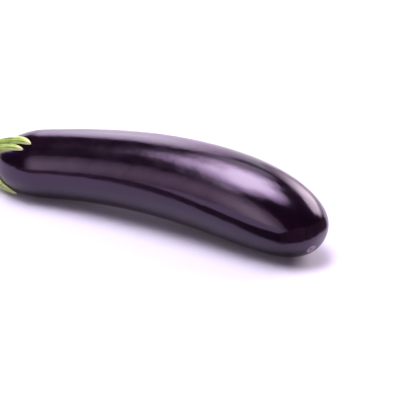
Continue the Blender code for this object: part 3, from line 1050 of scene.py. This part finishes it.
def build_fruit(context):
    """The fruit's skin with its faint facets, dents and blossom scar."""
    scene = context.scene
    form, finish = scene.fruit_form, scene.skin_finish
    fruit = Fruit(form, scene.scar_form)
    calyx = Calyx(fruit, scene.calyx_form, scene.stalk_form)
    rest = Rest(fruit)
    station, turn, point, normal = fruit.grid(form.segments, form.rings)
    from_scar = np.linalg.norm(point - fruit.scar_point, axis=-1)
    height = fruit.scar_height(from_scar) - crack_depth(fruit, point, from_scar)
    height = height + unevenness(fruit, finish, station, turn, point)
    rings = rest(point + height[..., None] * normal)
    rings[..., 2] = pressed_flat(rings[..., 2])
    values = {
        "grown": grown_place(station, form.belly, turn),
        "from_calyx": distance_from_calyx(calyx, station, turn, point),
        "from_scar": from_scar,
    }
    piece = ring_mesh("fruit_skin", rings, values, skin_material(finish))
    face_outwards(piece)
    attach(piece, BODY)
    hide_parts("fruit")


def distance_to_tip(reach, turn):
    """How far it is to the lobe's tip, and a far distance between the lobes."""
    distance = np.full_like(turn, FAR_FROM_TIP)
    for lobe_turn, half_width, tip_reach, _, _ in LOBES:
        inside = apart(turn, lobe_turn) < half_width
        distance = np.where(inside, np.minimum(distance, tip_reach - reach), distance)
    return distance


def build_calyx(context):
    """The calyx's lobes and the stalk with its cut end, in one grown piece."""
    scene = context.scene
    fruit = Fruit(scene.fruit_form, scene.scar_form)
    calyx = Calyx(fruit, scene.calyx_form, scene.stalk_form)
    rest = Rest(fruit)
    turn = calyx.columns()
    none = np.zeros_like(turn)
    points = []
    rows = []
    for point, reach, to_edge, on_top in blade_rings(calyx, turn):
        points.append(point)
        rows.append({
            "grown": grown_place(reach, GROWN_RADIUS, turn),
            "vein": calyx.veins(reach, turn) * on_top + 0.5 * (1 - on_top),
            "to_edge": to_edge,
            "to_tip": distance_to_tip(reach, turn),
            "on_stalk": none,
            "cut": none + 1,
            "under": 1 - on_top,
        })
    for point, share, cut, groove in stalk_rings(calyx, turn):
        points.append(point)
        rows.append({
            "grown": grown_place(-share * calyx.stalk.length * cut, GROWN_RADIUS * cut, turn),
            "vein": groove,
            "to_edge": none + FAR_FROM_EDGE,
            "to_tip": none + FAR_FROM_TIP,
            "on_stalk": share,
            "cut": cut,
            "under": none,
        })
    values = {key: np.array([row[key] for row in rows]) for key in rows[0]}
    rings = rest(np.array(points))
    piece = ring_mesh("calyx_and_stalk_flesh", rings, values, calyx_material(scene.calyx_finish))
    face_outwards(piece)
    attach(piece, BODY)
    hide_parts("calyx_and_stalk")


def outline_radius(outline, angle):
    """An ellipse's radius at this angle, or one that eases between even turns' radii."""
    if len(outline) == 2:
        return 1 / np.hypot(cos(angle) / outline[0], sin(angle) / outline[1])
    at = angle / (2 * pi) * len(outline)
    before = int(at)
    share = smooth(at - before)
    return outline[before] + share * (outline[(before + 1) % len(outline)] - outline[before])


def disc_mesh(name, segments, rings, outline):
    """A flat disc that faces down, in rings of one outline."""
    points = [(0.0, 0.0, 0.0)]
    faces = []
    for ring in range(1, rings + 1):
        for side in range(segments):
            angle = 2 * pi * side / segments
            radius = outline_radius(outline, angle) * ring / rings
            points.append((radius * cos(angle), radius * sin(angle), 0.0))
    for side in range(segments):
        after = (side + 1) % segments
        faces.append((0, 1 + after, 1 + side))
        for ring in range(rings - 1):
            start = 1 + ring * segments
            out = start + segments
            faces.append((start + side, start + after, out + after, out + side))
    mesh = bpy.data.meshes.new(name)
    mesh.from_pydata(points, [], faces)
    out = [0.0] + [ring / rings for ring in range(1, rings + 1) for _ in range(segments)]
    mesh.attributes.new("out", "FLOAT", "POINT").data.foreach_set("value", out)
    return mesh


def card_material(name, tint, rim_tint, middle, rim, full):
    """Light that is even in the middle, and eases down and takes another tint towards the rim."""
    material = bpy.data.materials.new(name)
    material.use_nodes = True
    tree = material.node_tree
    tree.nodes.clear()
    out = attribute(tree, "out")
    strength = ease(tree, out, full, 1.0, middle, rim)
    rim_colour = [share * other for share, other in zip(tint, rim_tint)]
    colour = blend_colours(tree, ease(tree, out, full, 1.0), tint, rim_colour)
    light = add(tree, "Emission", {"Color": colour, "Strength": strength})
    add(tree, "OutputMaterial", {"Surface": light.outputs[0]})
    return material


def add_card(look, name, tint, centre, lean, outline, turn, middle, rim, full):
    """One soft light card, which the camera doesn't see."""
    mesh = disc_mesh(name, CARD_SEGMENTS, CARD_RINGS, outline)
    level = look.light_level
    tint = getattr(look, tint)
    material = card_material(name, tint, look.rim_tint, middle * level, rim * level, full)
    mesh.materials.append(material)
    card = placed(name, mesh)
    lean = Matrix.Rotation(radians(lean), 4, "X")
    turn = Matrix.Rotation(radians(turn), 4, "Z")
    card.matrix_world = Matrix.Translation(centre) @ lean @ turn
    card.visible_camera = False
    card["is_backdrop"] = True


def add_dark_strip(look):
    """A low strip of dark plum in front, which only shows as a thin dark line in the gloss."""
    points = [(x, y, z) for x, y, top in DARK_STRIP for z in (0.0, top)]
    faces = [(k, k + 2, k + 3, k + 1) for k in range(0, len(points) - 2, 2)]
    mesh = bpy.data.meshes.new("dark_strip")
    mesh.from_pydata(points, [], faces)
    material, tree, shader = new_material("plum_paper")
    fill(tree, shader, {"Base Color": rgba(look.strip_colour), "Roughness": STRIP_ROUGHNESS})
    mesh.materials.append(material)
    strip = placed("dark_strip", mesh)
    strip.visible_camera = False
    strip.visible_diffuse = False
    strip.visible_shadow = False
    strip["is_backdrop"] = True


def add_floor(look):
    """A round, pale, matt floor, painted paler behind the fruit as painted light that the fruit's rims
    reflect.
    """
    mesh = disc_mesh("floor", FLOOR_SEGMENTS, FLOOR_RINGS, (look.floor_radius, look.floor_radius))
    mesh.transform(Matrix.Translation((0.0, look.floor_back, 0.0)))
    mesh.flip_normals()
    material, tree, shader = new_material("pale_floor")
    place = add(tree, "TexCoord").outputs["Object"]
    depth = add(tree, "SeparateXYZ", {0: place}).outputs[1]
    frayed = plus(tree, depth, times(tree, noise(tree, place, *FLOOR_CLOUDS), FLOOR_FRAY))
    # painted light: the floor turns paler behind the fruit
    behind = ease(tree, frayed, *FLOOR_PAINTED_LIGHT)
    colour = blend_colours(tree, behind, look.floor_colour, look.floor_painted_light_behind)
    fill(tree, shader, {"Base Color": colour, **FLOOR_SURFACE})
    mesh.materials.append(material)
    floor = placed("floor", mesh)
    floor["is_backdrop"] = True


def set_world(look):
    """Dim light from the room, and a plain bright backdrop for the camera alone."""
    world = bpy.data.worlds.new("studio")
    bpy.context.scene.world = world
    world.use_nodes = True
    tree = world.node_tree
    tree.nodes.clear()
    dim = {"Color": rgba(look.surround), "Strength": look.light_level}
    bright = {"Color": rgba(look.backdrop), "Strength": BACKDROP_STRENGTH}
    mixed = add(tree, "MixShader", {
        0: add(tree, "LightPath").outputs["Is Camera Ray"],
        1: add(tree, "Background", dim).outputs[0],
        2: add(tree, "Background", bright).outputs[0],
    })
    add(tree, "OutputWorld", {"Surface": mixed.outputs[0]})


def add_camera(look):
    """The camera, at the viewing angle of the photograph."""
    data = bpy.data.cameras.new("camera")
    data.lens = look.lens
    camera = placed("camera", data)
    back = Vector((
        sin(look.azimuth) * cos(look.elevation),
        -cos(look.azimuth) * cos(look.elevation),
        sin(look.elevation),
    ))
    turned = (-back).to_track_quat("-Z", "Y").to_matrix().to_4x4()
    place = Matrix.Translation(Vector(look.aim) + look.distance * back)
    camera.matrix_world = place @ turned @ Matrix.Rotation(look.roll, 4, "Z")
    bpy.context.scene.camera = camera
    bpy.context.scene.view_settings.view_transform = "Standard"


class EGGPLANT_OT_fruit(Operator):
    """Adds the fruit's skin with its blossom scar"""

    bl_idname = "eggplant.fruit"
    bl_label = "Fruit"

    def execute(self, context):
        build_fruit(context)
        return {"FINISHED"}


class EGGPLANT_OT_calyx(Operator):
    """Adds the calyx and the cut stalk"""

    bl_idname = "eggplant.calyx"
    bl_label = "Calyx and stalk"

    def execute(self, context):
        build_calyx(context)
        return {"FINISHED"}


class EGGPLANT_OT_stage(Operator):
    """Adds the floor, the lights and the camera"""

    bl_idname = "eggplant.stage"
    bl_label = "Stage"

    def execute(self, context):
        look = context.scene.stage_look
        set_world(look)
        add_floor(look)
        for card in CARDS:
            add_card(look, *card)
        add_dark_strip(look)
        add_camera(look)
        return {"FINISHED"}


class EGGPLANT_PT_parts(Panel):
    """Lists the eggplant's pieces and their settings"""

    bl_idname = "EGGPLANT_PT_parts"
    bl_label = "Eggplant"
    bl_space_type = "VIEW_3D"
    bl_region_type = "UI"
    bl_category = "Eggplant"

    def draw(self, context):
        for operator, groups in STEPS:
            box = self.layout.box()
            box.operator(operator.bl_idname)
            for name in groups:
                settings = getattr(context.scene, name)
                for key in settings.__annotations__:
                    box.prop(settings, key)


SETTINGS = {
    "fruit_form": FruitForm,
    "scar_form": ScarForm,
    "skin_finish": SkinFinish,
    "calyx_form": CalyxForm,
    "stalk_form": StalkForm,
    "calyx_finish": CalyxFinish,
    "stage_look": StageLook,
}
STEPS = (
    (EGGPLANT_OT_fruit, ("fruit_form", "scar_form", "skin_finish")),
    (EGGPLANT_OT_calyx, ("calyx_form", "stalk_form", "calyx_finish")),
    (EGGPLANT_OT_stage, ("stage_look",)),
)
CLASSES = (*SETTINGS.values(), *(operator for operator, _ in STEPS), EGGPLANT_PT_parts)


def register():
    for kind in CLASSES:
        bpy.utils.register_class(kind)
    for name, kind in SETTINGS.items():
        setattr(bpy.types.Scene, name, PointerProperty(type=kind))


def unregister():
    for name in SETTINGS:
        delattr(bpy.types.Scene, name)
    for kind in reversed(CLASSES):
        bpy.utils.unregister_class(kind)


def main():
    register()
    bpy.ops.eggplant.fruit()
    bpy.ops.eggplant.calyx()
    bpy.ops.eggplant.stage()
    boxes = {"cad": CAD_BOX, "visual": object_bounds()}
    lists = {name: [list(corner) for corner in box] for name, box in boxes.items()}


if __name__ == "__main__":
    main()
